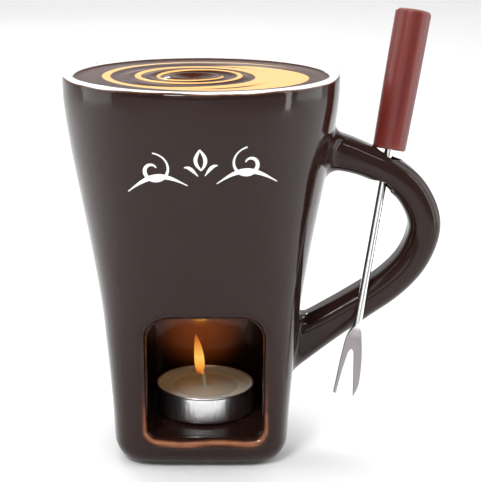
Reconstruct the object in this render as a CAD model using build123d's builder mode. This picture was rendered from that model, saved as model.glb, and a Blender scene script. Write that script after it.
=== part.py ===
"""Candle-heated chocolate fondue mug with a fork hung through its handle, and its tealight.

Frame: origin at the centre of the underside, +Z up, candle window towards -Y, handle
towards +X. All lengths are millimetres.
"""
from build123d import *
import math
import os

# ---- Mug body: a round rim that blends down to a rounded-square base -------------------
mug_height = 145.0
foot_radius = 9.0
# Height, half-width and squareness (2 is a circle, 5 is a rounded square) of the outside.
body_sections = [
    (foot_radius, 33.2, 5.0),
    (20.0, 33.8, 5.0),
    (40.0, 35.6, 4.2),
    (60.0, 38.0, 3.2),
    (80.0, 41.6, 2.5),
    (100.0, 45.5, 2.15),
    (120.0, 49.1, 2.0),
    (138.0, 51.2, 2.0),
    (mug_height, 51.3, 2.0),
]
section_points = 32
foot_steps = 5
rim_wall = 4.0
rim_rounding = 1.8

# ---- Bowl: round inside, with a dished floor -------------------------------------------
bowl_floor = 66.0
bowl_floor_radius = 22.5
bowl_shoulder = (36.5, 80.0)
bowl_waist = (40.6, 96.0)
bowl_breast = (44.9, 120.0)

# ---- Candle chamber under the bowl, and its window -------------------------------------
chamber_floor = 12.0
chamber_ceiling = 61.0
chamber_half_width = 28.0
chamber_corner = 10.0
chamber_ceiling_rounding = 6.0
window_width = 44.0
window_top = 59.0
window_top_corner = 9.0
window_sill_corner = 4.0
window_shift = 1.4
window_lip = 2.8

# ---- Handle: a D in the XZ plane -------------------------------------------------------
handle_depth = 16.6
handle_rounding = 5.0
handle_root_x = 30.0
handle_outer = [
    (handle_root_x, 123.0),
    (48.0, 122.3),
    (62.5, 116.9),
    (78.7, 110.2),
    (88.0, 97.4),
    (90.4, 87.0),
    (86.0, 70.7),
    (69.9, 53.6),
    (46.3, 38.0),
    (handle_root_x, 27.5),
]
handle_inner = [
    (handle_root_x, 46.0),
    (41.5, 50.4),
    (56.4, 59.7),
    (72.7, 73.2),
    (78.6, 87.0),
    (74.8, 98.7),
    (63.8, 105.8),
    (50.0, 108.2),
    (handle_root_x, 106.5),
]

# ---- Fork: a steel shaft and head in a turned grip, hung through the upper arm ---------
grip_seat = (70.6, 1.0, 115.45)
fork_lean = (0.168, 0.184, 0.969)
fork_hole_diameter = 10.0
fork_hole_start = 5.0
fork_hole_reach = 20.0
grip_length = 52.5
grip_bottom_diameter = 12.4
grip_top_diameter = 13.4
grip_edge_rounding = 0.8
shaft_diameter = 3.0
shaft_length = 67.7
tang_length = 30.0
head_thickness = 1.3
head_transition = 5.0
transition_width = 3.6
transition_thickness = 1.1
# Head outline, across and down from the end of the shaft: the left tine is slim and
# blunt, the right one is broad with its point on the inner side.
head_outer_left = [(-1.2, -1.0), (-3.3, 4.5), (-4.1, 13.0), (-4.6, 26.6)]
slot_left = [(-3.5, 26.9), (-2.7, 18.0), (-1.6, 10.6)]
slot_top = (-0.6, 9.2)
slot_right = [(0.45, 10.4), (1.4, 16.0), (3.1, 27.2)]
head_outer_right = [(3.1, 27.2), (4.3, 23.8), (4.6, 20.0), (3.9, 11.5), (2.4, 3.6), (1.2, -1.0)]

# ---- Tealight --------------------------------------------------------------------------
tealight_centre = (1.6, 0.0)
cup_diameter = 38.0
cup_height = 11.0
cup_wall = 0.3
cup_corner = 1.5
cup_foot_radius = 16.0
cup_floor_lift = 1.0
wax_clearance = 0.2
wax_height = 8.6
wax_corner = 1.2
sustainer_diameter = 14.0
sustainer_thickness = 0.3
sustainer_neck_diameter = 2.6
sustainer_neck_height = 3.2
wick_diameter = 1.5
wick_height = 15.6
wick_bend_height = 10.2
wick_lean = (-2.4, 0.5)


def below_neck(points):
    """Head points, given across and down, as across and up in the head's sketch."""
    return [(across, -down) for across, down in points]


def squircle(half_width, squareness, inset=0.0):
    """Points of a superellipse about the origin, evenly spaced in angle, drawn in by inset."""
    points = []
    for step in range(section_points):
        angle = 2 * math.pi * step / section_points
        across = abs(math.cos(angle)) ** squareness
        along = abs(math.sin(angle)) ** squareness
        radius = half_width / (across + along) ** (1 / squareness) - inset
        points.append((radius * math.cos(angle), radius * math.sin(angle)))
    return points


# ---- The mug's outside as one solid, shared by the body and by the handle's roots ------
with BuildPart() as mug_blank:
    for height, half_width, squareness in body_sections:
        with BuildSketch(Plane.XY.offset(height)):
            with BuildLine():
                Spline(*squircle(half_width, squareness), periodic=True)
            make_face()
    loft()
    for step in range(foot_steps + 1):
        angle = math.pi / 2 * step / foot_steps
        inset = foot_radius * (1 - math.cos(angle))
        with BuildSketch(Plane.XY.offset(foot_radius * (1 - math.sin(angle)))):
            with BuildLine():
                Spline(*squircle(*body_sections[0][1:], inset), periodic=True)
            make_face()
    loft()

# ---- Mug body: bowl above, candle chamber and window below -----------------------------
with BuildPart() as mug_body:
    add(mug_blank.part)
    with BuildSketch(Plane.XZ):
        with BuildLine():
            rim_inside = (body_sections[-1][1] - rim_wall, mug_height)
            Line((0, bowl_floor), (bowl_floor_radius, bowl_floor))
            TangentArc((bowl_floor_radius, bowl_floor), bowl_shoulder, tangent=(1, 0))
            Spline(bowl_shoulder, bowl_waist, bowl_breast, rim_inside)
            Polyline(rim_inside, (0, mug_height), (0, bowl_floor))
        make_face()
    revolve(axis=Axis.Z, mode=Mode.SUBTRACT)
    fillet(mug_body.edges().group_by(Axis.Z)[-1], radius=rim_rounding)

    with BuildSketch(Plane.XY.offset(chamber_floor)):
        RectangleRounded(2 * chamber_half_width, 2 * chamber_half_width, chamber_corner)
    extrude(amount=chamber_ceiling - chamber_floor, mode=Mode.SUBTRACT)
    fillet(mug_body.edges(Select.LAST).group_by(Axis.Z)[-1], radius=chamber_ceiling_rounding)

    window_height = window_top - chamber_floor
    with BuildSketch(Plane.XZ) as window:
        with Locations((window_shift, chamber_floor + window_height / 2)):
            Rectangle(window_width, window_height)
        fillet(window.vertices().group_by(Axis.Y)[0], radius=window_sill_corner)
        fillet(window.vertices().group_by(Axis.Y)[-1], radius=window_top_corner)
    extrude(amount=2 * chamber_half_width, mode=Mode.SUBTRACT)
    window_edges = mug_body.edges(Select.LAST).filter_by(GeomType.BSPLINE)
    window_mouth = window_edges.filter_by(lambda edge: edge.center().Y < -chamber_half_width - window_lip)
    fillet(window_mouth, radius=window_lip)
mug_body.part.label = "mug_body"

# ---- Handle: trimmed to the mug's outside, with the fork's hole in its upper arm -------
fork_plane = Plane(origin=grip_seat, x_dir=(1, 0, -fork_lean[0] / fork_lean[2]), z_dir=fork_lean)

with BuildPart() as mug_handle:
    with BuildSketch(Plane.XZ):
        with BuildLine():
            Spline(*handle_outer)
            Line(handle_outer[-1], handle_inner[0])
            Spline(*handle_inner)
            Line(handle_inner[-1], handle_outer[0])
        make_face()
    extrude(amount=handle_depth / 2, both=True)
    long_edges = mug_handle.faces().filter_by(Plane.XZ).edges().filter_by(GeomType.BSPLINE)
    fillet(long_edges, radius=handle_rounding)
    add(mug_blank.part, mode=Mode.SUBTRACT)
    with BuildSketch(fork_plane.offset(fork_hole_start)):
        Circle(fork_hole_diameter / 2)
    extrude(amount=-fork_hole_reach, mode=Mode.SUBTRACT)
mug_handle.part.label = "mug_handle"

# ---- Fork grip: turned and tapered, bored for the tang ---------------------------------
with BuildPart() as fork_grip:
    with BuildSketch(fork_plane):
        Circle(grip_bottom_diameter / 2)
    with BuildSketch(fork_plane.offset(grip_length)):
        Circle(grip_top_diameter / 2)
    loft()
    fillet(fork_grip.edges().filter_by(GeomType.CIRCLE), radius=grip_edge_rounding)
    with BuildSketch(fork_plane):
        Circle(shaft_diameter / 2)
    extrude(amount=tang_length, mode=Mode.SUBTRACT)
fork_grip.part.label = "fork_grip"

# ---- Fork steel: tang, shaft and flattened two-tined head ------------------------------
neck_plane = fork_plane.offset(-shaft_length)
head_plane = Plane(origin=neck_plane.origin, x_dir=fork_plane.x_dir, z_dir=-fork_plane.y_dir)

with BuildPart() as fork_steel:
    with BuildSketch(neck_plane):
        Circle(shaft_diameter / 2)
    extrude(amount=shaft_length + tang_length)
    with BuildSketch(neck_plane):
        Circle(shaft_diameter / 2)
    with BuildSketch(neck_plane.offset(-head_transition)):
        Rectangle(transition_width, transition_thickness)
    loft()
    with BuildSketch(head_plane):
        with BuildLine():
            Spline(*below_neck(head_outer_left))
            Line(*below_neck([head_outer_left[-1], slot_left[0]]))
            Spline(*below_neck(slot_left))
            ThreePointArc(*below_neck([slot_left[-1], slot_top, slot_right[0]]))
            Spline(*below_neck(slot_right))
            Spline(*below_neck(head_outer_right))
            Line(*below_neck([head_outer_right[-1], head_outer_left[0]]))
        make_face()
    extrude(amount=head_thickness / 2, both=True)
fork_steel.part.label = "fork_steel"

# ---- Tealight cup: thin drawn aluminium, its floor pressed up off a ring-shaped foot ----
cup_plane = Plane.XY.offset(chamber_floor).move(Location((*tealight_centre, 0)))

with BuildPart() as tealight_cup:
    with BuildSketch(cup_plane):
        Circle(cup_diameter / 2)
    extrude(amount=cup_height)
    fillet(tealight_cup.edges().group_by(Axis.Z)[0], radius=cup_corner)
    with BuildSketch(cup_plane):
        Circle(cup_foot_radius)
    extrude(amount=cup_floor_lift, mode=Mode.SUBTRACT)
    offset(amount=-cup_wall, openings=tealight_cup.faces().sort_by(Axis.Z)[-1])
tealight_cup.part.label = "tealight_cup"

# ---- Wick sustainer: a tin disc with a crimped neck, on the cup's floor ----------------
sustainer_plane = cup_plane.offset(cup_floor_lift + cup_wall)

with BuildPart() as wick_sustainer:
    with BuildSketch(sustainer_plane):
        Circle(sustainer_diameter / 2)
    extrude(amount=sustainer_thickness)
    with BuildSketch(sustainer_plane):
        Circle(sustainer_neck_diameter / 2)
    extrude(amount=sustainer_neck_height)
    with BuildSketch(sustainer_plane):
        Circle(wick_diameter / 2)
    extrude(amount=sustainer_neck_height, mode=Mode.SUBTRACT)
wick_sustainer.part.label = "wick_sustainer"

# ---- Wick: upright in the wax, then bent over above it ---------------------------------
with BuildPart() as tealight_wick:
    with BuildLine(sustainer_plane):
        bend_start = (0, 0, wick_bend_height)
        upright = Line((0, 0, 0), bend_start)
        TangentArc(bend_start, (*wick_lean, wick_height), tangent=(0, 0, 1))
    with BuildSketch(sustainer_plane):
        Circle(wick_diameter / 2)
    sweep()
tealight_wick.part.label = "tealight_wick"

# ---- Wax: a loose cake round the wick and its sustainer --------------------------------
with BuildPart() as tealight_wax:
    with BuildSketch(sustainer_plane):
        Circle(cup_diameter / 2 - cup_wall - wax_clearance)
    extrude(amount=wax_height)
    fillet(tealight_wax.edges().group_by(Axis.Z)[0], radius=wax_corner)
    add(wick_sustainer.part, mode=Mode.SUBTRACT)
    with BuildSketch(sustainer_plane):
        Circle(wick_diameter / 2)
    extrude(amount=wax_height, mode=Mode.SUBTRACT)
tealight_wax.part.label = "tealight_wax"

# ---- Write each piece to its own file --------------------------------------------------
os.makedirs("parts", exist_ok=True)
pieces = [
    mug_body,
    mug_handle,
    fork_grip,
    fork_steel,
    tealight_cup,
    wick_sustainer,
    tealight_wick,
    tealight_wax,
]
for piece in pieces:
    export_step(piece.part, f"parts/{piece.part.label}.step")
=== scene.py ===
"""Looks of the chocolate fondue mug: glazed ceramic, fork, tealight, melted chocolate.

The shapes below are worked out in millimetres in the model's own frame (origin at the
centre of the underside, window towards -Y, handle towards +X) and built in metres.
"""
import bpy
import math
import numpy as np
import openvdb
from mathutils import Matrix, Vector


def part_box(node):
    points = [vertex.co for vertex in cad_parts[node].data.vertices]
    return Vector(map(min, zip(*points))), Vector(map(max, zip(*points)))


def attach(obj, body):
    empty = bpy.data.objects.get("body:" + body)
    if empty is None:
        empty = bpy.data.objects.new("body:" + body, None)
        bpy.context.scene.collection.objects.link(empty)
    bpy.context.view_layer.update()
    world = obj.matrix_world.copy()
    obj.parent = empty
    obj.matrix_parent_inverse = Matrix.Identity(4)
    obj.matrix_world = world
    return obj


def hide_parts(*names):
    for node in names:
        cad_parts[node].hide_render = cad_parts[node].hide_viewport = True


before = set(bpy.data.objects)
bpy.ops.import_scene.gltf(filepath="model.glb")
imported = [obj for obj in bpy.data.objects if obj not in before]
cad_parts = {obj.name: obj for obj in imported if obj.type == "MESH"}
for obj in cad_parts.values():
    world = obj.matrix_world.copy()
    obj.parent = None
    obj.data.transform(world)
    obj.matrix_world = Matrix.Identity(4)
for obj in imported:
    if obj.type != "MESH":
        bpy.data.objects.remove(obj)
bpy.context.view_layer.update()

MM = 0.001

# ---- Driving sizes, in millimetres -------------------------------------------------------
# The ceramic, the fork and the tealight follow the CAD model, except that the window is a
# little narrower with a wider lip, and the handle's edges and roots are rounder. The
# chocolate, the flame, the cup's flutes and the scroll are not in the CAD model.
MUG_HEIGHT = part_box("mug_body")[1][2] / MM
FOOT_RADIUS = 9.0
BODY_HEIGHTS = (FOOT_RADIUS, 20.0, 40.0, 60.0, 80.0, 100.0, 120.0, 138.0, MUG_HEIGHT)
BODY_HALF_WIDTHS = (33.2, 33.8, 35.6, 38.0, 41.6, 45.5, 49.1, 51.2, 51.3)
BODY_SQUARENESS = (5.0, 5.0, 4.2, 3.2, 2.5, 2.15, 2.0, 2.0, 2.0)
RIM_ROUNDING = 1.8
LINER_EDGE_DEPTH = 0.75

BOWL_FLOOR = 66.0
BOWL_FLOOR_ROUNDING = 14.0
BOWL_HEIGHTS = (BOWL_FLOOR, 80.0, 96.0, 120.0, MUG_HEIGHT)
BOWL_RADII = (34.5, 36.5, 40.6, 44.9, 47.3)
BOWL_CLEARANCE = 0.05

CHAMBER_FLOOR = 12.0
CHAMBER_CEILING = 61.0
CHAMBER_HALF_WIDTH = 28.0
CHAMBER_CORNER = 10.0
CHAMBER_CEILING_ROUNDING = 6.0
CHAMBER_FLOOR_ROUNDING = 1.2
WINDOW_HALF_WIDTH = 21.3
WINDOW_FLARE = 1.0
WINDOW_FLARE_DEPTH = 6.0
WINDOW_TOP = 59.0
WINDOW_SHIFT = 1.4
WINDOW_TOP_CORNER = 9.0
WINDOW_SILL_CORNER = 3.7
WINDOW_LIP = 3.7
SILL_LIP_SLANT = 0.45
SILL_LIP_SLANT_WIDTH = 9.0
WINDOW_INNER_LIP = 1.3

# The handle's centreline (x, z) and half its thickness in the XZ plane, root to root.
HANDLE_LINE = (
    (40.0, 115.0), (50.0, 115.2), (61.0, 112.0), (71.0, 107.2), (79.0, 100.5), (84.0, 91.0),
    (84.2, 82.5), (79.8, 72.4), (71.8, 63.8), (61.0, 56.2), (48.0, 47.6), (34.0, 38.4),
)
HANDLE_HALF = (7.6, 7.0, 6.0, 6.0, 6.1, 6.1, 6.0, 6.0, 6.1, 6.3, 7.0, 8.4)
HANDLE_HALF_DEPTH = 8.3
HANDLE_ROUNDING = 5.9
HANDLE_ROOT_FILLET = 4.5

GRIP_SEAT = Vector((70.6, 1.0, 115.45))
FORK_LEAN = Vector((0.168, 0.184, 0.969)).normalized()
FORK_HOLE_RADIUS = 5.0
FORK_HOLE_REACH = (-15.0, 5.0)
FORK_HOLE_ROUNDING = 1.0
GRIP_LENGTH = 52.5
GRIP_RADIUS = (6.2, 6.7)
GRIP_SWELL = 0.10
GRIP_LOW_ROUNDING = 0.8
GRIP_TOP_ROUNDING = 1.3
SHAFT_RADIUS = 1.5
SHAFT_LENGTH = 67.7
TANG_LENGTH = 20.0
HEAD_HALF_THICKNESS = 0.65
HEAD_ROUNDING = 0.42
HEAD_TRANSITION = 6.0
SHAFT_FLAT = 0.02

# The fork head's outline, across and down from the end of the shaft, as in the CAD model.
HEAD_LEFT = ((-1.5, 0.0), (-3.3, 4.5), (-4.1, 13.0), (-4.6, 26.6))
SLOT_LEFT = ((-3.5, 26.9), (-2.7, 18.0), (-1.6, 10.6))
SLOT_TOP = ((-1.6, 10.6), (-0.6, 9.2), (0.45, 10.4))
SLOT_RIGHT = ((0.45, 10.4), (1.4, 16.0), (3.1, 27.2))
HEAD_RIGHT = ((3.1, 27.2), (4.3, 23.8), (4.6, 20.0), (3.9, 11.5), (2.4, 3.6), (1.5, 0.0))

TEALIGHT_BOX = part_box("tealight_cup")
TEALIGHT_CENTRE = Vector((
    (TEALIGHT_BOX[0][0] + TEALIGHT_BOX[1][0]) / 2 / MM,
    (TEALIGHT_BOX[0][1] + TEALIGHT_BOX[1][1]) / 2 / MM,
    TEALIGHT_BOX[0][2] / MM,
))
CUP_RADIUS = (TEALIGHT_BOX[1][0] - TEALIGHT_BOX[0][0]) / 2 / MM
CUP_HEIGHT = (TEALIGHT_BOX[1][2] - TEALIGHT_BOX[0][2]) / MM
CUP_FOOT_RADIUS = 16.0
CUP_FLOOR_LIFT = 1.0
CUP_WALL = 0.25
CUP_CORNER = 1.5
CUP_LIP = 0.32
CUP_FLUTES = 60
CUP_FLUTE_DEPTH = 0.012
WAX_TOP = (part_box("tealight_wax")[1][2] - TEALIGHT_BOX[0][2]) / MM

WAX_CLEARANCE = 0.55
WICK_RADIUS = 0.72
WICK_STRAIGHT_TOP = 9.7
WICK_TIP = Vector((-2.4, 0.5, 16.9))
WICK_CHAR = (12.2, 17.0)
FLAME_HEIGHT = 16.5
FLAME_FULLNESS = 4.41
FLAME_FOOT = WICK_TIP + Vector((0.45, 0.0, -2.6))
FLAME_HEART = 7.0

CHOCOLATE_LEVEL = 143.2
CHOCOLATE_RINGS = 150
CHOCOLATE_SPOKES = 360
SWIRL_CENTRE = (-2.6, 1.0)
RIPPLE_HEIGHT = 0.34
DIMPLE_DEPTH = 1.1

SCROLL_HEIGHT = 117.5
SCROLL_TILT = math.radians(4.0)
ENAMEL_THICKNESS = 0.10
ENAMEL_SINK = 0.05

# The radius of the ring that a lathed piece starts or ends with, under its cap.
PINHOLE = 0.05


# ========================================================================================
# Mesh tools
# ========================================================================================
def mesh_object(name, vertices, faces):
    """A linked, smooth object from vertices in millimetres and faces of vertex numbers."""
    mesh = bpy.data.meshes.new(name)
    mesh.from_pydata((np.asarray(vertices) * MM).tolist(), [], faces)
    mesh.validate()
    mesh.shade_smooth()
    piece = bpy.data.objects.new(name, mesh)
    bpy.context.scene.collection.objects.link(piece)
    return piece


def point_values(piece, name, values):
    """Stores one number per vertex, for the piece's material to read."""
    layer = piece.data.attributes.new(name, "FLOAT", "POINT")
    layer.data.foreach_set("value", np.asarray(values, dtype=np.float32))


def field_slope(field, points, step):
    """The field's slope at each point, and how sharply its surface turns outwards there."""
    centre = field(*points.T)
    slope = np.empty_like(points)
    spread = -6.0 * centre
    for axis in range(3):
        nudge = np.zeros(3)
        nudge[axis] = step
        ahead = field(*(points + nudge).T)
        behind = field(*(points - nudge).T)
        slope[:, axis] = (ahead - behind) / (2 * step)
        spread += ahead + behind
    return centre, slope, spread / step ** 2


def surface_of(name, field, low, high, voxel):
    """The zero surface of a distance field as a smooth mesh, with exact shading normals."""
    axes = [np.arange(a, b + voxel, voxel) for a, b in zip(low, high)]
    samples = field(axes[0][:, None, None], axes[1][None, :, None], axes[2][None, None, :])
    reach = 3 * voxel
    grid = openvdb.FloatGrid(reach)
    grid.copyFromArray(np.clip(samples, -reach, reach).astype(np.float32))
    points, quads = grid.convertToQuads(0.0)
    points = np.array(points, dtype=float) * voxel + np.array(low)
    for _ in range(3):
        distance, slope, _spread = field_slope(field, points, 0.05)
        steepness = np.maximum((slope ** 2).sum(axis=1), 0.1)
        move = np.clip(distance / steepness, -voxel, voxel)
        points -= slope * move[:, None]
    piece = mesh_object(name, points, quads.tolist())
    _distance, slope, spread = field_slope(field, points, 0.25)
    normals = slope / np.linalg.norm(slope, axis=1)[:, None]
    piece.data.normals_split_custom_set_from_vertices(normals.tolist())
    return piece, points, spread


def band_faces(rows, around, first=0):
    """Quads from each ring of vertices to the next, where the first ring starts at first."""
    faces = []
    for row in range(rows - 1):
        here = first + row * around
        beyond = here + around
        for step in range(around):
            after = (step + 1) % around
            faces.append((here + step, here + after, beyond + after, beyond + step))
    return faces


def capped_faces(rows, around):
    """The quads of a stack of rings, and a cap over its first and last ring."""
    faces = band_faces(rows, around)
    faces.append(tuple(range(around))[::-1])
    faces.append(tuple((rows - 1) * around + step for step in range(around)))
    return faces


def arc(centre, radius, start, end, steps):
    """Points (radius, height) of an arc, its angles counted from straight outwards."""
    return [
        (centre[0] + radius * math.cos(angle), centre[1] + radius * math.sin(angle))
        for angle in np.linspace(start, end, steps)
    ]


def lathe(name, profile, turns, ripple=None):
    """The profile of (radius, height) turned about Z, with a flat cap over each end."""
    profile = np.asarray(profile, dtype=float)
    angles = np.arange(turns) * 2 * math.pi / turns
    radii = np.repeat(profile[:, 0][:, None], turns, axis=1)
    if ripple is not None:
        radii = radii + ripple(angles[None, :], profile[:, 1][:, None])
    x = radii * np.cos(angles)
    y = radii * np.sin(angles)
    z = np.repeat(profile[:, 1][:, None], turns, axis=1)
    vertices = np.stack([x, y, z], axis=-1).reshape(-1, 3)
    return mesh_object(name, vertices, capped_faces(len(profile), turns)), vertices


def tube(name, centres, radii, around, lobes=None):
    """A capped tube along the centres, with its own radius at each and optional lobes."""
    vertices = []
    for index, centre in enumerate(centres):
        before = centres[max(index - 1, 0)]
        after = centres[min(index + 1, len(centres) - 1)]
        turn = Vector((0, 0, 1)).rotation_difference(after - before)
        for step in range(around):
            angle = 2 * math.pi * step / around
            radius = radii[index] * (1 + (lobes(angle, index) if lobes else 0))
            spoke = Vector((radius * math.cos(angle), radius * math.sin(angle), 0))
            vertices.append(centre + turn @ spoke)
    return mesh_object(name, vertices, capped_faces(len(centres), around))


# ========================================================================================
# Distance fields
# ========================================================================================
def meet(a, b, rounding):
    """What lies inside both a and b, with the edge between them rounded."""
    corner = np.hypot(np.maximum(a + rounding, 0), np.maximum(b + rounding, 0))
    return np.minimum(-rounding, np.maximum(a, b)) + corner


def join(a, b, rounding):
    """What lies inside a or b, with a fillet where they run into each other."""
    corner = np.hypot(np.maximum(rounding - a, 0), np.maximum(rounding - b, 0))
    return np.maximum(rounding, np.minimum(a, b)) - corner


def smooth_through(at, knots, values):
    """A smooth curve through values at knots, and its slope."""
    knots = np.asarray(knots, dtype=float)
    values = np.asarray(values, dtype=float)
    slopes = np.gradient(values, knots)
    at = np.clip(at, knots[0], knots[-1])
    index = np.clip(np.searchsorted(knots, at, side="right") - 1, 0, len(knots) - 2)
    span = knots[index + 1] - knots[index]
    t = (at - knots[index]) / span
    rise = values[index + 1] - values[index]
    start = slopes[index] * span
    end = slopes[index + 1] * span
    square = 3 * rise - 2 * start - end
    cube = start + end - 2 * rise
    value = values[index] + t * start + t * t * square + t ** 3 * cube
    slope = (start + 2 * t * square + 3 * t * t * cube) / span
    return value, slope


def outside(x, y, z):
    """Distance from the mug's flared side, before it is cut to height."""
    half, flare = smooth_through(z, BODY_HEIGHTS, BODY_HALF_WIDTHS)
    power, _ = smooth_through(z, BODY_HEIGHTS, BODY_SQUARENESS)
    ax = np.abs(x) + 1e-6
    ay = np.abs(y) + 1e-6
    size = (ax ** power + ay ** power) ** (1 / power)
    steep = size ** (1 - power) * np.sqrt(ax ** (2 * power - 2) + ay ** (2 * power - 2))
    return (size - half) / np.sqrt(steep ** 2 + flare ** 2)


def bowl(x, y, z):
    """Distance from the bowl's hollow."""
    radius, flare = smooth_through(z, BOWL_HEIGHTS, BOWL_RADII)
    side = (np.hypot(x, y) - radius) / np.sqrt(1 + flare ** 2)
    return meet(side, BOWL_FLOOR - z, BOWL_FLOOR_ROUNDING)


def rounded_box_2d(u, v, half_u, half_v, corner):
    """Distance from a flat rectangle with rounded corners, centred on u = v = 0."""
    du = np.abs(u) - (half_u - corner)
    dv = np.abs(v) - (half_v - corner)
    beyond = np.hypot(np.maximum(du, 0), np.maximum(dv, 0))
    return beyond + np.minimum(np.maximum(du, dv), 0) - corner


def candle_space(x, y, z):
    """Distance from the hollow of the chamber and its window together."""
    plan = rounded_box_2d(x, y, CHAMBER_HALF_WIDTH, CHAMBER_HALF_WIDTH, CHAMBER_CORNER)
    chamber = meet(plan, z - CHAMBER_CEILING, CHAMBER_CEILING_ROUNDING)
    chamber = meet(chamber, CHAMBER_FLOOR - z, CHAMBER_FLOOR_ROUNDING)
    middle = (WINDOW_TOP + CHAMBER_FLOOR) / 2
    half_height = WINDOW_TOP - middle
    corner = np.where(z > middle, WINDOW_TOP_CORNER, WINDOW_SILL_CORNER)
    opening = rounded_box_2d(x - WINDOW_SHIFT, z - middle, WINDOW_HALF_WIDTH, half_height, corner)
    outwards = np.clip((-y - CHAMBER_HALF_WIDTH) / WINDOW_FLARE_DEPTH, 0, 1)
    opening = opening - WINDOW_FLARE * outwards ** 2
    window = np.maximum(opening, y + CHAMBER_HALF_WIDTH / 2)
    return join(chamber, window, WINDOW_INNER_LIP)


def handle_curve():
    """The handle's centreline and half-thickness, finely divided."""
    knots = np.arange(len(HANDLE_LINE))
    fine = np.linspace(0, len(HANDLE_LINE) - 1, 70)
    x, _ = smooth_through(fine, knots, [point[0] for point in HANDLE_LINE])
    z, _ = smooth_through(fine, knots, [point[1] for point in HANDLE_LINE])
    half, _ = smooth_through(fine, knots, HANDLE_HALF)
    return np.stack([x, z, half], axis=1)


HANDLE_CURVE = handle_curve()


def handle(x, y, z):
    """Distance from the handle, a rounded band swept along its centreline."""
    x, z = np.broadcast_arrays(x, z)
    nearest = np.full(x.shape, np.inf)
    half = np.zeros(x.shape)
    for (x0, z0, h0), (x1, z1, h1) in zip(HANDLE_CURVE[:-1], HANDLE_CURVE[1:]):
        run_x = x1 - x0
        run_z = z1 - z0
        t = np.clip(((x - x0) * run_x + (z - z0) * run_z) / (run_x ** 2 + run_z ** 2), 0, 1)
        away = np.hypot(x - x0 - t * run_x, z - z0 - t * run_z)
        closer = away < nearest
        nearest = np.where(closer, away, nearest)
        half = np.where(closer, h0 + t * (h1 - h0), half)
    return rounded_box_2d(nearest, y, half, HANDLE_HALF_DEPTH, HANDLE_ROUNDING)


def fork_hole(x, y, z):
    """Distance from the fork's hole through the upper arm."""
    dx = x - GRIP_SEAT.x
    dy = y - GRIP_SEAT.y
    dz = z - GRIP_SEAT.z
    along = dx * FORK_LEAN.x + dy * FORK_LEAN.y + dz * FORK_LEAN.z
    away = np.sqrt(np.maximum(dx ** 2 + dy ** 2 + dz ** 2 - along ** 2, 0))
    past_ends = np.maximum(FORK_HOLE_REACH[0] - along, along - FORK_HOLE_REACH[1])
    return np.maximum(away - FORK_HOLE_RADIUS, past_ends)


def ceramic(x, y, z):
    """Distance from the whole glazed mug."""
    solid = meet(outside(x, y, z), -z, FOOT_RADIUS)
    solid = join(solid, handle(x, y, z), HANDLE_ROOT_FILLET)
    solid = meet(solid, z - MUG_HEIGHT, RIM_ROUNDING)
    slant = SILL_LIP_SLANT * np.tanh(x / SILL_LIP_SLANT_WIDTH) * (z < 2 * CHAMBER_FLOOR)
    solid = meet(solid, -candle_space(x, y, z), WINDOW_LIP + slant)
    solid = meet(solid, -bowl(x, y, z), RIM_ROUNDING)
    return meet(solid, -fork_hole(x, y, z), FORK_HOLE_ROUNDING)


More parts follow.
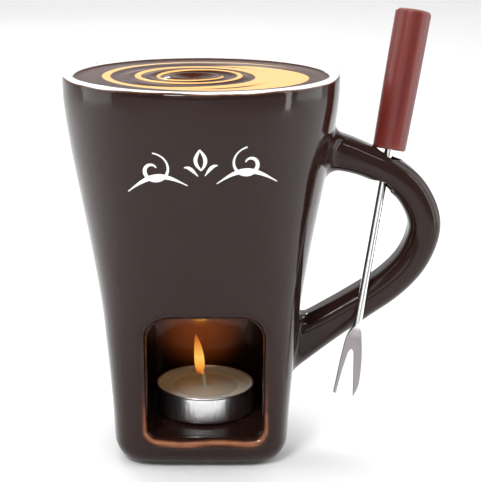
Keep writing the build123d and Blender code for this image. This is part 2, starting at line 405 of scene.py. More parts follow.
# ========================================================================================
# Material tools
# ========================================================================================
class Nodes:
    """Short ways to add and link the nodes of one material."""

    def __init__(self, name):
        self.material = bpy.data.materials.new(name)
        self.material.use_nodes = True
        self.tree = self.material.node_tree
        self.shader = self.tree.nodes["Principled BSDF"]

    def add(self, kind, **settings):
        node = self.tree.nodes.new(kind)
        for key, value in settings.items():
            setattr(node, key, value)
        return node

    def feed(self, socket, value):
        """Links an output to the socket, or sets the socket to a number or colour."""
        if isinstance(value, bpy.types.NodeSocket):
            self.tree.links.new(value, socket)
        else:
            socket.default_value = value

    def set(self, **inputs):
        """Shader inputs by name, with _ for a space."""
        for key, value in inputs.items():
            self.feed(self.shader.inputs[key.replace("_", " ")], value)

    def place(self, scale=(1, 1, 1)):
        """Object coordinates in metres, stretched by scale."""
        coordinates = self.add("ShaderNodeTexCoord").outputs["Object"]
        mapping = self.add("ShaderNodeMapping")
        mapping.inputs["Scale"].default_value = scale
        self.feed(mapping.inputs["Vector"], coordinates)
        return mapping.outputs["Vector"]

    def noise(self, scale, detail=3.0, roughness=0.5, stretch=(1, 1, 1), distortion=0.0):
        """Soft random grey over the piece, with this many patches to a metre."""
        node = self.add("ShaderNodeTexNoise")
        node.inputs["Scale"].default_value = scale
        node.inputs["Detail"].default_value = detail
        node.inputs["Roughness"].default_value = roughness
        node.inputs["Distortion"].default_value = distortion
        self.feed(node.inputs["Vector"], self.place(stretch))
        return node.outputs["Fac"]

    def stored(self, name):
        """A number stored on the piece's vertices."""
        return self.add("ShaderNodeAttribute", attribute_name=name).outputs["Fac"]

    def ramp(self, value, *stops):
        """Stops of (position, colour or grey level)."""
        node = self.add("ShaderNodeValToRGB")
        elements = node.color_ramp.elements
        while len(elements) < len(stops):
            elements.new(0.5)
        for element, (position, colour) in zip(elements, stops):
            element.position = position
            element.color = (*colour, 1) if isinstance(colour, tuple) else (colour, colour, colour, 1)
        self.feed(node.inputs["Fac"], value)
        return node.outputs["Color"]

    def math(self, operation, a, b):
        """The sum or product of two numbers."""
        node = self.add("ShaderNodeMath", operation=operation)
        self.feed(node.inputs[0], a)
        self.feed(node.inputs[1], b)
        return node.outputs[0]

    def span(self, value, low, high):
        """The value, which runs from 0 to 1, spread over low to high."""
        node = self.add("ShaderNodeMapRange")
        self.feed(node.inputs["Value"], value)
        node.inputs["To Min"].default_value = low
        node.inputs["To Max"].default_value = high
        return node.outputs["Result"]

    def mix(self, factor, a, b):
        """A colour or grey level between a and b."""
        node = self.add("ShaderNodeMix", data_type="RGBA")
        self.feed(node.inputs["Factor"], factor)
        self.feed(node.inputs["A"], (*a, 1) if isinstance(a, tuple) else a)
        self.feed(node.inputs["B"], (*b, 1) if isinstance(b, tuple) else b)
        return node.outputs["Result"]

    def bump(self, height, distance, strength, under=None):
        """A normal that follows the height, laid over another bump if one is given."""
        node = self.add("ShaderNodeBump")
        node.inputs["Distance"].default_value = distance
        node.inputs["Strength"].default_value = strength
        self.feed(node.inputs["Height"], height)
        if under is not None:
            self.feed(node.inputs["Normal"], under)
        return node.outputs["Normal"]


def wear(piece, material):
    """Gives the piece this material and no other."""
    piece.data.materials.clear()
    piece.data.materials.append(material)


# ========================================================================================
# Materials
# ========================================================================================
def glaze_material():
    """Dark brown gloss glaze that breaks to rust on edges, and a white liner glaze."""
    n = Nodes("brown_glaze")
    cloud = n.noise(38, detail=4, roughness=0.6)
    brown = n.mix(cloud, (0.0155, 0.0062, 0.0047), (0.0235, 0.0098, 0.0077))
    fleck = n.ramp(n.noise(1500, detail=1), (0.71, 0.0), (0.76, 1.0))
    brown = n.mix(n.math("MULTIPLY", fleck, 0.5), brown, (0.006, 0.003, 0.002))
    ragged = n.math("MULTIPLY", n.noise(260, detail=3), 0.5)
    edge = n.math("MULTIPLY", n.stored("edge"), n.math("ADD", ragged, 0.72))
    broken = n.ramp(edge, (0.0, (0.024, 0.014, 0.012)), (0.45, (0.075, 0.024, 0.012)),
                    (0.9, (0.30, 0.115, 0.052)))
    brown = n.mix(n.ramp(edge, (0.12, 0.0), (0.55, 1.0)), brown, broken)
    white = n.mix(n.noise(90, detail=2), (0.80, 0.79, 0.765), (0.86, 0.855, 0.84))
    liner = n.ramp(n.stored("liner"), (0.42, 0.0), (0.58, 1.0))
    seam = n.ramp(n.stored("liner"), (0.16, 0.0), (0.40, 1.0), (0.52, 1.0), (0.66, 0.0))
    colour = n.mix(liner, brown, white)
    colour = n.mix(n.math("MULTIPLY", seam, 0.85), colour, (0.115, 0.042, 0.016))
    bare = n.ramp(n.stored("foot"), (0.35, 0.0), (0.65, 1.0))
    bisque = n.mix(n.noise(700, detail=4), (0.52, 0.42, 0.33), (0.62, 0.53, 0.43))
    n.set(Base_Color=n.mix(bare, colour, bisque))
    gloss = n.span(n.noise(55, detail=3), 0.055, 0.12)
    n.set(Roughness=n.mix(bare, gloss, (0.8, 0.8, 0.8)))
    n.set(IOR=1.34)
    peel = n.bump(n.noise(170, detail=2, roughness=0.4), 0.00022, 0.35)
    n.set(Normal=n.bump(n.noise(1400, detail=2), 0.00001, 0.25, under=peel))
    return n.material


def scroll_material():
    """White ceramic enamel, slightly uneven where the brush ran thin."""
    n = Nodes("white_enamel")
    n.set(Base_Color=n.mix(n.noise(900, detail=3), (0.86, 0.87, 0.88), (0.95, 0.95, 0.95)))
    n.set(Roughness=n.span(n.noise(400), 0.22, 0.42))
    n.set(Normal=n.bump(n.noise(2600, detail=2), 0.00002, 0.5))
    return n.material


def chocolate_material():
    """Glossy melted chocolate with a caramel cream stirred through it."""
    n = Nodes("melted_chocolate")
    cream = n.math("ADD", n.stored("cream"), n.span(n.noise(420, detail=3, distortion=0.6), -0.10, 0.10))
    dark = n.mix(n.noise(120, detail=3), (0.022, 0.0045, 0.0012), (0.050, 0.0105, 0.0030))
    swirl = n.ramp(cream, (0.30, (0.040, 0.008, 0.002)), (0.48, (0.30, 0.10, 0.022)),
                   (0.66, (0.60, 0.30, 0.085)), (1.0, (0.74, 0.43, 0.145)))
    n.set(Base_Color=n.mix(n.ramp(cream, (0.28, 0.0), (0.42, 1.0)), dark, swirl))
    n.set(Roughness=n.span(n.noise(80), 0.11, 0.19), IOR=1.3, Specular_IOR_Level=0.04)
    n.set(Subsurface_Weight=0.12, Subsurface_Radius=(0.6, 0.25, 0.1), Subsurface_Scale=0.0015)
    n.set(Normal=n.bump(n.noise(260, detail=2), 0.0001, 0.25))
    return n.material


def wood_material():
    """Red-brown stained beech under a satin lacquer, grain along the grip."""
    n = Nodes("grip_wood")
    fibre = n.noise(520, detail=5, roughness=0.65, stretch=(1, 1, 0.045))
    bands = n.noise(110, detail=2, stretch=(1, 1, 0.08), distortion=0.8)
    base = n.mix(bands, (0.135, 0.0150, 0.0105), (0.190, 0.0250, 0.0170))
    stained = n.mix(n.ramp(fibre, (0.36, 0.0), (0.72, 1.0)), base, (0.095, 0.0100, 0.0075))
    pore = n.noise(1500, detail=2, stretch=(1, 1, 0.03))
    pores = n.ramp(pore, (0.66, 0.0), (0.74, 1.0))
    # Lighter red-brown colour on the rounded edges at both ends of the grip.
    lighter_ends = n.math("MULTIPLY", n.stored("edge"), n.span(n.noise(600, detail=3), 0.0, 0.9))
    with_lighter_ends = n.mix(lighter_ends, stained, (0.26, 0.070, 0.042))
    n.set(Base_Color=n.mix(n.math("MULTIPLY", pores, 0.55), with_lighter_ends, (0.055, 0.006, 0.005)))
    n.set(Roughness=n.span(fibre, 0.30, 0.46))
    n.set(Coat_Weight=0.2, Coat_Roughness=0.25, IOR=1.45, Specular_IOR_Level=0.4)
    grain = n.bump(fibre, 0.00008, 0.35)
    n.set(Normal=n.bump(pores, 0.00005, -0.4, under=grain))
    return n.material


def steel_material():
    """Polished stainless shaft, turning to a satin, ground finish on the flat head."""
    n = Nodes("fork_steel")
    satin = n.stored("satin")
    drawn = n.noise(2600, detail=4, roughness=0.7, stretch=(1, 1, 0.012))
    ground = n.noise(1800, detail=4, roughness=0.7, stretch=(0.06, 1, 1))
    n.set(Base_Color=n.mix(satin, (0.88, 0.88, 0.89), (0.40, 0.37, 0.385)), Metallic=1.0)
    n.set(Roughness=n.mix(satin, n.span(drawn, 0.12, 0.24), n.span(ground, 0.30, 0.44)))
    scratches = n.mix(satin, drawn, ground)
    n.set(Normal=n.bump(scratches, 0.000012, 0.5))
    return n.material


def aluminium_material():
    """Bright drawn foil with faint draw marks and small dents."""
    n = Nodes("cup_aluminium")
    draw = n.noise(1500, detail=4, roughness=0.7, stretch=(1, 1, 0.05))
    n.set(Base_Color=n.mix(draw, (0.80, 0.80, 0.81), (0.92, 0.92, 0.93)), Metallic=1.0)
    n.set(Roughness=n.span(draw, 0.22, 0.36))
    dents = n.bump(n.noise(190, detail=2), 0.00035, 0.35)
    n.set(Normal=n.bump(draw, 0.00002, 0.4, under=dents))
    return n.material


def wax_material():
    """Off-white paraffin, clear and wet round the wick, dull towards the cup."""
    n = Nodes("candle_wax")
    pool = n.stored("pool")
    frost = n.noise(340, detail=4)
    dull = n.mix(frost, (0.64, 0.64, 0.58), (0.75, 0.74, 0.67))
    n.set(Base_Color=n.mix(pool, dull, (0.58, 0.57, 0.50)))
    n.set(Roughness=n.span(pool, 0.42, 0.10))
    n.set(Subsurface_Weight=0.45, Subsurface_Radius=(1.0, 0.72, 0.42), Subsurface_Scale=0.004)
    n.set(Normal=n.bump(frost, 0.00012, 0.25))
    return n.material


def wick_material():
    """Braided cotton, waxed below and charred and glowing at the tip."""
    n = Nodes("wick_cotton")
    burn = n.math("ADD", n.stored("burn"), n.span(n.noise(1800, detail=2), -0.08, 0.08))
    colour = n.ramp(burn, (0.0, (0.62, 0.50, 0.33)), (0.55, (0.42, 0.24, 0.10)), (0.8, (0.035, 0.018, 0.010)))
    n.set(Base_Color=colour, Roughness=0.75)
    n.set(Emission_Color=(1.0, 0.34, 0.07, 1.0))
    n.set(Emission_Strength=n.span(n.ramp(burn, (0.35, 0.0), (0.9, 1.0)), 0.0, 1.6))
    n.set(Normal=n.bump(n.noise(3500, detail=2, stretch=(1, 1, 0.4)), 0.00006, 0.6))
    return n.material


def tin_material():
    """Tinned sheet with a crystalline spangle."""
    n = Nodes("sustainer_tin")
    spangle = n.add("ShaderNodeTexVoronoi")
    spangle.inputs["Scale"].default_value = 700
    n.feed(spangle.inputs["Vector"], n.place())
    n.set(Base_Color=n.mix(spangle.outputs["Distance"], (0.58, 0.58, 0.57), (0.72, 0.72, 0.71)), Metallic=1.0)
    n.set(Roughness=n.span(n.noise(900, detail=3), 0.25, 0.45))
    n.set(Normal=n.bump(n.noise(1200), 0.00002, 0.4))
    return n.material


def flame_material():
    """A candle flame: clear at its foot, yellow in its belly and orange towards the tip."""
    n = Nodes("flame")
    rise = n.stored("rise")
    colour = n.ramp(rise, (0.0, (0.75, 0.16, 0.02)), (0.22, (1.0, 0.42, 0.05)), (0.42, (1.0, 0.62, 0.13)),
                    (0.66, (1.0, 0.40, 0.06)), (1.0, (0.9, 0.13, 0.01)))
    n.set(Base_Color=(0.0, 0.0, 0.0, 1.0), Roughness=1.0, Specular_IOR_Level=0.0)
    n.set(Emission_Color=colour)
    n.set(Emission_Strength=n.ramp(rise, (0.0, 0.6), (0.2, 1.0), (0.45, 1.0), (0.75, 0.8), (1.0, 0.5)))
    facing = n.add("ShaderNodeLayerWeight")
    facing.inputs["Blend"].default_value = 0.35
    rim = n.ramp(facing.outputs["Facing"], (0.35, 1.0), (1.0, 0.05))
    body = n.ramp(rise, (0.0, 0.35), (0.12, 0.9), (0.4, 1.0), (0.85, 0.85), (1.0, 0.3))
    n.set(Alpha=n.math("MULTIPLY", rim, body))
    return n.material


# ========================================================================================
# Pieces
# ========================================================================================
def white_liner(x, y, z):
    """1 where the bowl's white glaze is, 0 on the brown, with a wavering edge on the rim."""
    bearing = np.arctan2(y, x)
    waver = 0.20 * np.sin(3 * bearing + 0.6)
    waver = waver + 0.14 * np.sin(7 * bearing + 2.0)
    waver = waver + 0.08 * np.sin(17 * bearing)
    in_bowl = np.abs(bowl(x, y, z)) < 0.5
    over_rim = 0.5 + (z - (MUG_HEIGHT - LINER_EDGE_DEPTH) - waver) / 1.2
    return np.clip(np.where(in_bowl, 1.0, over_rim), 0, 1)


def thin_glaze(x, y, z, turn):
    """1 where the glaze breaks to rust: along the window's lip, and a little on sharp edges."""
    crest = outside(x, y, z) + candle_space(x, y, z) + 0.6 * np.sin(x / 4.1)
    near_sill = np.clip((36 - z) / 24, 0, 1)
    by_window = y < 1 - CHAMBER_HALF_WIDTH
    lip = np.exp(-(crest / 1.7) ** 2) * by_window * (0.25 + 0.75 * near_sill)
    sharp = 0.22 * np.clip((turn - 0.20) / 0.2, 0, 1)
    return np.where(z > MUG_HEIGHT - 6, 0.0, np.maximum(lip, sharp))


def make_ceramic():
    """The mug and its handle, seamless under one glaze."""
    margin = 2.0
    reach = BODY_HALF_WIDTHS[-1] + 2.5
    low = (-reach, -reach, -margin)
    high = (93.0, reach, MUG_HEIGHT + margin)
    voxel = 1.14
    piece, points, turn = surface_of("glazed_mug", ceramic, low, high, voxel)
    x, y, z = points.T
    point_values(piece, "liner", white_liner(x, y, z))
    point_values(piece, "edge", thin_glaze(x, y, z, turn))
    point_values(piece, "foot", np.clip(0.5 + (0.35 - z) / 0.3, 0, 1))
    wear(piece, glaze_material())
    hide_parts("mug_body", "mug_handle")
    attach(piece, "mug")


def cream_amount(radius, angle):
    """How much cream shows: a spiral ribbon that swells to a broad crescent on one side.

    Radii here are shares of the surface's own radius, and phases are radians of winding.
    """
    innermost = 0.225
    growth = 0.0735
    begin = -0.2
    end = 5.9 * math.pi
    crescent = 4.05 * math.pi
    softness = 0.016
    amount = np.zeros_like(radius)
    for turn in range(-1, 4):
        phase = (angle % (2 * math.pi)) + 2 * math.pi * turn
        swell = np.exp(-((phase - crescent) / 1.25) ** 2)
        line = innermost * np.exp(growth * phase) + 0.10 * swell
        width = 0.011 + 0.0016 * np.maximum(phase, 0) + 0.165 * swell
        taper = np.clip((end - phase) / 2.0, 0, 1) * np.clip((phase - begin) / 0.6, 0, 1)
        ribbon = np.clip((width * taper - np.abs(radius - line)) / softness + 0.5, 0, 1)
        amount = np.maximum(amount, ribbon * ((phase > begin) & (phase < end)))
    off_streak = (radius - 0.62 - 0.05 * np.sin(angle)) / 0.022
    off_reach = (np.abs(angle) - 1.15) / 0.42
    streak = np.exp(-off_streak ** 2) * np.exp(-off_reach ** 2)
    return np.clip(amount - 0.9 * streak, 0, 1)


def stirred_surface(angles):
    """The surface's points, ring by ring outwards, and how much cream shows at each."""
    rim = BOWL_RADII[-1] - BOWL_CLEARANCE
    share = np.linspace(0, 1, CHOCOLATE_RINGS + 1)[1:]
    share = np.repeat(share[:, None], len(angles), axis=1)
    bearing = np.repeat(angles[None, :], CHOCOLATE_RINGS, axis=0)
    x = share * np.cos(bearing) * rim
    y = share * np.sin(bearing) * rim
    fade = np.clip(1 - share ** 3, 0, 1)
    from_x = x - SWIRL_CENTRE[0] * fade
    from_y = y - SWIRL_CENTRE[1] * fade
    swirl_r = np.hypot(from_x, from_y)
    swirl_a = np.arctan2(from_y, from_x)
    strength = np.exp(-((swirl_r - 12) / 14) ** 2)
    waves = np.cos(swirl_r * 2 * math.pi / 8.6 + 0.9 * np.sin(swirl_a))
    ripple = RIPPLE_HEIGHT * waves * strength
    dimple = -DIMPLE_DEPTH * np.exp(-(swirl_r / 3.4) ** 2)
    stir = 0.10 * np.cos(swirl_r * 2 * math.pi / 15 - swirl_a)
    meniscus = 0.5 * np.exp(-(rim - share * rim) / 0.8)
    z = CHOCOLATE_LEVEL + (ripple + dimple + stir) * fade + meniscus
    cream = cream_amount(swirl_r / rim, -swirl_a)
    return np.stack([x, y, z], axis=-1).reshape(-1, 3).tolist(), cream.ravel()


def bowl_profile():
    """(radius, height) down the bowl's side and round to its floor, just clear of the glaze."""
    profile = []
    for height in np.linspace(CHOCOLATE_LEVEL - 3, BOWL_FLOOR + BOWL_FLOOR_ROUNDING, 14):
        radius, _ = smooth_through(height, BOWL_HEIGHTS, BOWL_RADII)
        profile.append((radius - BOWL_CLEARANCE, height))
    for bend in np.linspace(0, math.pi / 2, 7)[1:]:
        radius = BOWL_RADII[1] - BOWL_CLEARANCE - BOWL_FLOOR_ROUNDING * (1 - math.cos(bend))
        height = BOWL_FLOOR + BOWL_CLEARANCE + BOWL_FLOOR_ROUNDING * (1 - math.sin(bend))
        profile.append((radius, height))
    return profile


def make_chocolate():
    """The bowl's fill: a stirred, rippled surface over a plug that follows the bowl."""
    spokes = CHOCOLATE_SPOKES
    angles = np.arange(spokes) * 2 * math.pi / spokes
    surface, cream = stirred_surface(angles)
    below = bowl_profile()
    hub_height = CHOCOLATE_LEVEL + RIPPLE_HEIGHT - DIMPLE_DEPTH
    vertices = [(0.0, 0.0, hub_height)] + surface
    for radius, height in below:
        vertices += [(radius * math.cos(a), radius * math.sin(a), height) for a in angles]
    rows = CHOCOLATE_RINGS + len(below)
    faces = [(0, 1 + step, 1 + (step + 1) % spokes) for step in range(spokes)]
    faces += [(a, d, c, b) for a, b, c, d in band_faces(rows, spokes, first=1)]
    faces.append(tuple(1 + (rows - 1) * spokes + step for step in range(spokes))[::-1])
    piece = mesh_object("melted_chocolate", vertices, faces)
    point_values(piece, "cream", np.concatenate([[0.0], cream, np.zeros(len(below) * spokes)]))
    wear(piece, chocolate_material())
    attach(piece, "mug")


def fork_matrix():
    """Places a piece built along +Z from the grip's seat."""
    across = Vector((1, 0, -FORK_LEAN.x / FORK_LEAN.z)).normalized()
    back = FORK_LEAN.cross(across)
    turn = Matrix((across, back, FORK_LEAN)).transposed().to_4x4()
    return Matrix.Translation(GRIP_SEAT * MM) @ turn


def make_grip():
    """The turned wooden grip, with softened ends."""
    low, high = GRIP_RADIUS
    bevel = 0.35
    foot = (low - GRIP_LOW_ROUNDING, GRIP_LOW_ROUNDING)
    shoulder = (high - GRIP_TOP_ROUNDING, GRIP_LENGTH - GRIP_TOP_ROUNDING)
    profile = [(PINHOLE, bevel), (SHAFT_RADIUS + 0.05, bevel), (SHAFT_RADIUS + bevel, 0.05)]
    profile += arc(foot, GRIP_LOW_ROUNDING, -math.pi / 2, 0, 7)
    for t in np.linspace(0, 1, 24)[1:-1]:
        swell = GRIP_SWELL * math.sin(math.pi * t)
        profile.append((low + (high - low) * t + swell, GRIP_LENGTH * t))
    profile += arc(shoulder, GRIP_TOP_ROUNDING, 0, math.pi / 2, 9)
    profile += [(shoulder[0] * share, GRIP_LENGTH) for share in (0.8, 0.6, 0.4, 0.2, 0.02)]
    piece, vertices = lathe("wooden_grip", profile, turns=96)
    radius = np.hypot(vertices[:, 0], vertices[:, 1])
    top = np.exp(-((vertices[:, 2] - GRIP_LENGTH + 0.4) / 0.5) ** 2) * (radius > high - 1.4)
    bottom = np.exp(-((vertices[:, 2] - 0.3) / 0.5) ** 2) * (radius > low - 1.0)
    point_values(piece, "edge", np.clip(top + bottom, 0, 1))
    piece.matrix_world = fork_matrix()
    wear(piece, wood_material())
    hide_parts("fork_grip")
    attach(piece, "fork")


def fine_outline():
    """The fork's outline from tang to tines, finely divided, as (across, up) points."""
    outline = [(-SHAFT_RADIUS, TANG_LENGTH)]
    for stretch in (HEAD_LEFT, SLOT_LEFT, SLOT_TOP, SLOT_RIGHT, HEAD_RIGHT):
        knots = np.arange(len(stretch))
        fine = np.linspace(0, len(stretch) - 1, 5 * len(stretch))
        across, _ = smooth_through(fine, knots, [point[0] for point in stretch])
        down, _ = smooth_through(fine, knots, [point[1] for point in stretch])
        outline += [(a, -SHAFT_LENGTH - d) for a, d in zip(across, down)]
    outline.append((SHAFT_RADIUS, TANG_LENGTH))
    return np.array(outline)


FORK_OUTLINE = fine_outline()


def fork_blank(x, y, z):
    """Distance from the steel: round in the shaft, beaten flat in the head."""
    u, w = np.broadcast_arrays(x, z)
    away = np.full(u.shape, np.inf)
    inside = np.zeros(u.shape, dtype=bool)
    for (u0, w0), (u1, w1) in zip(FORK_OUTLINE, np.roll(FORK_OUTLINE, -1, axis=0)):
        run = np.array((u1 - u0, w1 - w0))
        length = (run ** 2).sum()
        if length < 1e-9:
            continue
        t = np.clip(((u - u0) * run[0] + (w - w0) * run[1]) / length, 0, 1)
        away = np.minimum(away, np.hypot(u - u0 - t * run[0], w - w0 - t * run[1]))
        if w0 != w1:
            beside = (w0 > w) != (w1 > w)
            inside ^= beside & (u < u0 + (w - w0) * run[0] / run[1])
    flat = np.where(inside, -away, away)
    beaten = np.clip((-SHAFT_LENGTH + 1.5 - w) / HEAD_TRANSITION, 0, 1)
    beaten = beaten * beaten * (3 - 2 * beaten)
    half = SHAFT_RADIUS + (HEAD_HALF_THICKNESS - SHAFT_RADIUS) * beaten
    rounding = SHAFT_RADIUS - SHAFT_FLAT + (HEAD_ROUNDING - SHAFT_RADIUS) * beaten
    return meet(flat, np.abs(y) - half, rounding)


def make_fork_steel():
    """The shaft and its two-tined head."""
    low = (-6.0, -2.6, -SHAFT_LENGTH - 29.0)
    high = (6.0, 2.6, TANG_LENGTH + 1.0)
    voxel = 0.27
    piece, points, _turn = surface_of("steel_fork", fork_blank, low, high, voxel)
    depth = -SHAFT_LENGTH - points[:, 2]
    point_values(piece, "satin", np.clip((depth + 0.5) / 2.5, 0, 1))
    piece.matrix_world = fork_matrix()
    wear(piece, steel_material())
    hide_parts("fork_steel")
    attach(piece, "fork")


def make_cup():
    """The tealight's foil cup: fluted wall, rolled lip, floor pressed up off a foot ring."""
    outer = CUP_RADIUS - 0.25
    inner = outer - CUP_WALL
    profile = [(PINHOLE, CUP_FLOOR_LIFT), (CUP_FOOT_RADIUS - 0.4, CUP_FLOOR_LIFT)]
    profile += [(CUP_FOOT_RADIUS, 0.2), (CUP_FOOT_RADIUS + 0.3, 0.0), (outer - CUP_CORNER, 0.0)]
    profile += arc((outer - CUP_CORNER, CUP_CORNER), CUP_CORNER, -math.pi / 2, 0, 7)[1:]
    profile += [(outer, height) for height in np.linspace(CUP_CORNER + 0.5, CUP_HEIGHT - 1.0, 8)]
    profile += arc((outer - 0.05, CUP_HEIGHT - CUP_LIP), CUP_LIP, -math.pi / 2, math.pi, 12)
    inner_corner = CUP_CORNER + CUP_WALL
    profile += [(inner, height) for height in np.linspace(CUP_HEIGHT - 0.8, inner_corner, 6)]
    profile += [(inner - CUP_CORNER, CUP_WALL), (CUP_FOOT_RADIUS + 0.4, CUP_WALL)]
    inner_floor = CUP_FLOOR_LIFT + CUP_WALL
    profile += [(CUP_FOOT_RADIUS - 0.3, inner_floor), (PINHOLE, inner_floor)]

    def flutes(angle, height):
        above_foot = np.clip((height - 0.8) / 1.2, 0, 1)
        below_lip = np.clip((CUP_HEIGHT - 1.2 - height) / 2.5, 0, 1)
        return CUP_FLUTE_DEPTH * np.cos(CUP_FLUTES * angle) * (above_foot * below_lip)

    piece, _vertices = lathe("foil_cup", profile, turns=480, ripple=flutes)
    piece.matrix_world = Matrix.Translation(TEALIGHT_CENTRE * MM)
    wear(piece, aluminium_material())
    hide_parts("tealight_cup")
    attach(piece, "tealight")


def make_wax():
    """The wax cake, with a shallow melt pool and a little climb at the wick and the wall."""
    radius = CUP_RADIUS - WAX_CLEARANCE
    base = CUP_FLOOR_LIFT + 0.35
    profile = [(PINHOLE, base), (radius - 1.2, base)]
    profile += [(radius - 0.35, base + 0.35), (radius, base + 1.2)]
    profile += [(radius, height) for height in np.linspace(base + 2.1, WAX_TOP - 0.5, 6)]
    steps = np.linspace(0, 1, 60) ** 0.9
    for r in radius * (1 - steps[:-1]):
        pool = 0.45 / (1 + math.exp((r - 0.72 * radius) / 0.9))
        climb = 0.55 * math.exp(-max(r - 0.9, 0) / 0.9)
        wall = 0.35 * math.exp(-(radius - r) / 0.7)
        profile.append((max(r, PINHOLE), WAX_TOP - 0.35 - pool + climb + wall))
    piece, vertices = lathe("wax_cake", profile, turns=144)
    away = np.hypot(vertices[:, 0], vertices[:, 1])
    on_top = vertices[:, 2] > WAX_TOP - 1.4
    point_values(piece, "pool", np.clip((0.74 * radius - away) / 2.0, 0, 1) * on_top)
    piece.matrix_world = Matrix.Translation(TEALIGHT_CENTRE * MM)
    wear(piece, wax_material())
    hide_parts("tealight_wax")
    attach(piece, "candle")


def wick_path():
    """The wick's centreline from the sustainer up to its burnt, bent tip."""
    foot = CUP_FLOOR_LIFT + 0.5
    path = [Vector((0, 0, height)) for height in np.linspace(foot, WICK_STRAIGHT_TOP, 16)]
    for t in np.linspace(0, 1, 22)[1:]:
        height = WICK_STRAIGHT_TOP + (WICK_TIP.z - WICK_STRAIGHT_TOP) * t
        path.append(Vector((WICK_TIP.x * t ** 1.8, WICK_TIP.y * t ** 1.8, height)))
    return path


def make_wick():
    """A three-strand braid, burnt thin towards its tip."""
    path = wick_path()
    count = len(path)
    radii = [WICK_RADIUS * (1 - 0.35 * max(0, index / count - 0.7)) for index in range(count)]
    radii[-1] *= 0.55

    def strands(angle, index):
        return 0.16 * abs(math.cos(1.5 * angle + index * 0.55)) - 0.08

    piece = tube("braided_wick", path, radii, around=30, lobes=strands)
    heights = np.array([vertex.co.z for vertex in piece.data.vertices]) / MM
    low, high = WICK_CHAR
    point_values(piece, "burn", np.clip((heights - low) / (high - low), 0, 1))
    piece.matrix_world = Matrix.Translation(TEALIGHT_CENTRE * MM)
    wear(piece, wick_material())
    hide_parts("tealight_wick")
    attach(piece, "candle")


def make_flame():
    """The flame, leaning and tapering to a point."""
    steps = 40
    centres = []
    radii = []
    for step in range(steps + 1):
        t = step / steps
        sway = 0.55 * math.sin(2.4 * t) - 2.3 * t
        centres.append(FLAME_FOOT + Vector((sway, 0.0, FLAME_HEIGHT * t)))
        radii.append(max(FLAME_FULLNESS * (t + 0.06) ** 0.45 * (1 - t) ** 0.9, 0.03))
    piece = tube("flame", centres, radii, around=32)
    heights = np.array([vertex.co.z for vertex in piece.data.vertices]) / MM
    point_values(piece, "rise", np.clip((heights - FLAME_FOOT.z) / FLAME_HEIGHT, 0, 1))
    piece.matrix_world = Matrix.Translation(TEALIGHT_CENTRE * MM)
    piece.visible_shadow = False
    wear(piece, flame_material())
    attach(piece, "candle")
    make_glow(piece)


def make_glow(flame):
    """The flame's warm light: a little all round, and most of it onto the chamber's back."""
    round_glow = bpy.data.lights.new("flame_glow", "POINT")
    round_glow.energy = 0.0014
    back_glow = bpy.data.lights.new("flame_back_glow", "SPOT")
    back_glow.energy = 0.21
    back_glow.spot_size = math.radians(78)
    back_glow.spot_blend = 1.0
    for glow in (round_glow, back_glow):
        glow.color = (1.0, 0.45, 0.07)
        glow.shadow_soft_size = 2.5 * MM
        lamp = bpy.data.objects.new(glow.name, glow)
        lamp.location = (FLAME_FOOT + Vector((0.0, 0.0, FLAME_HEART))) * MM
        lamp.rotation_euler = (math.radians(98), 0.0, 0.0)
        lamp.parent = flame
        bpy.context.scene.collection.objects.link(lamp)


def on_front(u, v, lift):
    """The point of the mug's front at u across and v up from the scroll's centre."""
    x = u * math.cos(SCROLL_TILT) - v * math.sin(SCROLL_TILT)
    z = SCROLL_HEIGHT + u * math.sin(SCROLL_TILT) + v * math.cos(SCROLL_TILT)
    near = -60.0
    far = 0.0
    for _ in range(30):
        middle = (near + far) / 2
        if outside(x, middle, z) > lift:
            near = middle
        else:
            far = middle
    return (x, far, z)


def add_stroke(vertices, faces, line, thin, swell, power, early=1.0):
    """A raised pen stroke along the line, thin at its ends and thin + swell at its middle."""
    count = len(line)
    base = len(vertices)
    section = ((-1.0, -ENAMEL_SINK), (-0.7, ENAMEL_THICKNESS), (0.7, ENAMEL_THICKNESS), (1.0, -ENAMEL_SINK))
    for index, (u, v) in enumerate(line):
        before = line[max(index - 1, 0)]
        after = line[min(index + 1, count - 1)]
        run = Vector((after[0] - before[0], after[1] - before[1])).normalized()
        t = min(index / (count - 1) * early, 1)
        half = thin + swell * math.sin(math.pi * t) ** power
        for across, lift in section:
            vertices.append(on_front(u - run.y * half * across, v + run.x * half * across, lift))
    faces += band_faces(count, len(section), first=base)
    faces.append((base + 3, base + 2, base + 1, base))
    end = base + 4 * (count - 1)
    faces.append((end, end + 1, end + 2, end + 3))


def scroll_curl(side):
    """An open curl that unwinds outwards."""
    line = []
    for t in np.linspace(0, 1, 90):
        angle = 0.6 + 2.3 * math.pi * t
        radius = 1.3 + 5.0 * t ** 1.1
        line.append((side * (16.5 - radius * math.cos(angle)), 1.2 + radius * math.sin(angle) * 0.95))
    return line


def scroll_tail(side):
    """The arched stroke below a curl."""
    return [
        (side * (26.0 - 21.0 * t), -7.0 + 4.6 * math.sin(math.pi * t) + 2.2 * t)
        for t in np.linspace(0, 1, 50)
    ]


def scroll_frond(side):
    """The short stroke beside the leaf."""
    return [(side * (1.2 + 4.6 * t), -1.6 + 3.4 * math.sin(1.8 * t)) for t in np.linspace(0, 1, 30)]


def scroll_leaf(side):
    """One edge of the pointed leaf in the middle."""
    return [
        (side * 1.9 * math.sin(math.pi * t) * (1 - 0.25 * t), 0.4 + 7.4 * t)
        for t in np.linspace(0, 1, 40)
    ]


def make_scroll():
    """The front's decoration: mirrored pen scrolls and fronds about a pointed leaf."""
    vertices = []
    faces = []
    for side in (-1, 1):
        add_stroke(vertices, faces, scroll_curl(side), 0.30, 0.50, 1.4, early=1.05)
        add_stroke(vertices, faces, scroll_tail(side), 0.20, 0.85, 1.5)
        add_stroke(vertices, faces, scroll_frond(side), 0.16, 0.55, 1.2)
    for side in (-1, 1):
        add_stroke(vertices, faces, scroll_leaf(side), 0.24, 0.50, 0.8)
    piece = mesh_object("front_scroll", vertices, faces)
    wear(piece, scroll_material())
    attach(piece, "mug")


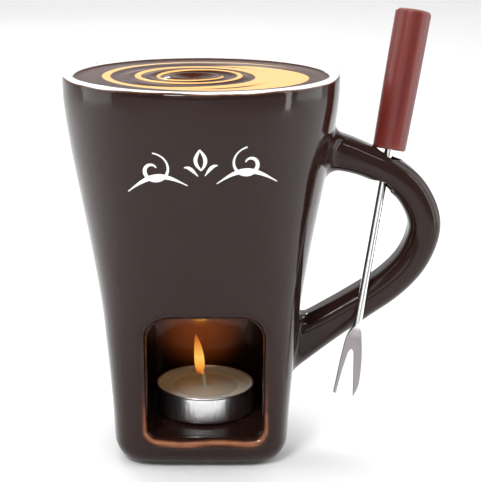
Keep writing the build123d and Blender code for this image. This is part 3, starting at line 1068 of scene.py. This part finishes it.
# ========================================================================================
# Stage
# ========================================================================================
def make_stage():
    """A pale round floor that sweeps up into a wall on every side."""
    floor_radius = 2.2 / MM
    sweep = 0.6 / MM
    wall_top = 2.8 / MM
    around = 96
    profile = [(floor_radius * share, 0.0) for share in (0.0005, 0.1, 0.4, 1.0)]
    for bend in np.linspace(0, math.pi / 2, 16)[1:]:
        profile.append((floor_radius + sweep * math.sin(bend), sweep - sweep * math.cos(bend)))
    profile.append((floor_radius + sweep, wall_top))
    vertices = []
    for radius, height in profile:
        for step in range(around):
            angle = 2 * math.pi * step / around
            vertices.append((radius * math.cos(angle), radius * math.sin(angle), height))
    faces = band_faces(len(profile), around)
    faces.append(tuple(range(around)))
    floor = mesh_object("studio_floor", vertices, faces)
    n = Nodes("studio_floor")
    n.set(Base_Color=(0.84, 0.84, 0.84, 1.0), Roughness=0.9, Specular_IOR_Level=0.1)
    wear(floor, n.material)


def area_light(name, place, target, size, energy):
    """A white rectangular soft box at place, facing target."""
    light = bpy.data.lights.new(name, "AREA")
    light.shape = "RECTANGLE"
    light.size, light.size_y = size
    light.energy = energy
    lamp = bpy.data.objects.new(name, light)
    lamp.location = place
    lamp.rotation_euler = (Vector(target) - Vector(place)).to_track_quat("-Z", "Y").to_euler()
    bpy.context.scene.collection.objects.link(lamp)


def make_lights():
    """Soft boxes at the sides, above and on the wall behind, and a small key in front."""
    world = bpy.data.worlds.new("studio")
    bpy.context.scene.world = world
    world.use_nodes = True
    background = world.node_tree.nodes["Background"]
    background.inputs["Color"].default_value = (0.80, 0.80, 0.82, 1)
    background.inputs["Strength"].default_value = 0.25
    area_light("key", (-0.35, -0.75, 0.85), (0, 0, 0.08), (0.25, 0.25), 6.0)
    area_light("left_box", (-0.62, 0.02, 0.30), (0, 0, 0.07), (0.45, 0.8), 2.4)
    area_light("right_box", (0.68, 0.08, 0.30), (0, 0, 0.07), (0.45, 0.8), 2.4)
    area_light("right_strip", (0.52, -0.17, 0.20), (0.05, 0, 0.09), (0.05, 0.45), 0.5)
    area_light("front_card", (-0.12, -0.95, 0.24), (0.05, 0, 0.10), (0.7, 0.2), 0.6)
    area_light("top_strip", (0.10, -0.42, 0.66), (0.05, 0, 0.10), (0.8, 0.03), 1.3)
    area_light("glint", (-0.22, 1.50, 0.60), (0, 0, 0.14), (0.10, 0.04), 1.0)
    area_light("top_box", (0.0, 0.30, 0.95), (0, 0, 0.1), (0.9, 0.6), 4.0)
    area_light("backdrop_box", (0.0, 1.1, 2.1), (0, 1.8, 0.0), (2.4, 0.8), 34.0)


def make_camera():
    """The photograph's view: close, from a little above the rim, tipped 15 degrees down."""
    camera = bpy.data.cameras.new("camera")
    camera.sensor_fit = "HORIZONTAL"
    camera.sensor_width = 36.0
    camera.lens = 103.5
    camera.shift_x = 0.0817
    camera.clip_start = 0.01
    lens = bpy.data.objects.new("camera", camera)
    lens.location = (0.0, -0.5105, 0.2168)
    lens.rotation_euler = (math.radians(90 - 15.0), 0.0, 0.0)
    bpy.context.scene.collection.objects.link(lens)
    bpy.context.scene.camera = lens
    bpy.context.scene.view_settings.view_transform = "Standard"


make_ceramic()
make_scroll()
make_chocolate()
make_grip()
make_fork_steel()
make_cup()
make_wax()
make_wick()
make_flame()
wear(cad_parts["wick_sustainer"], tin_material())
make_stage()
make_lights()
make_camera()
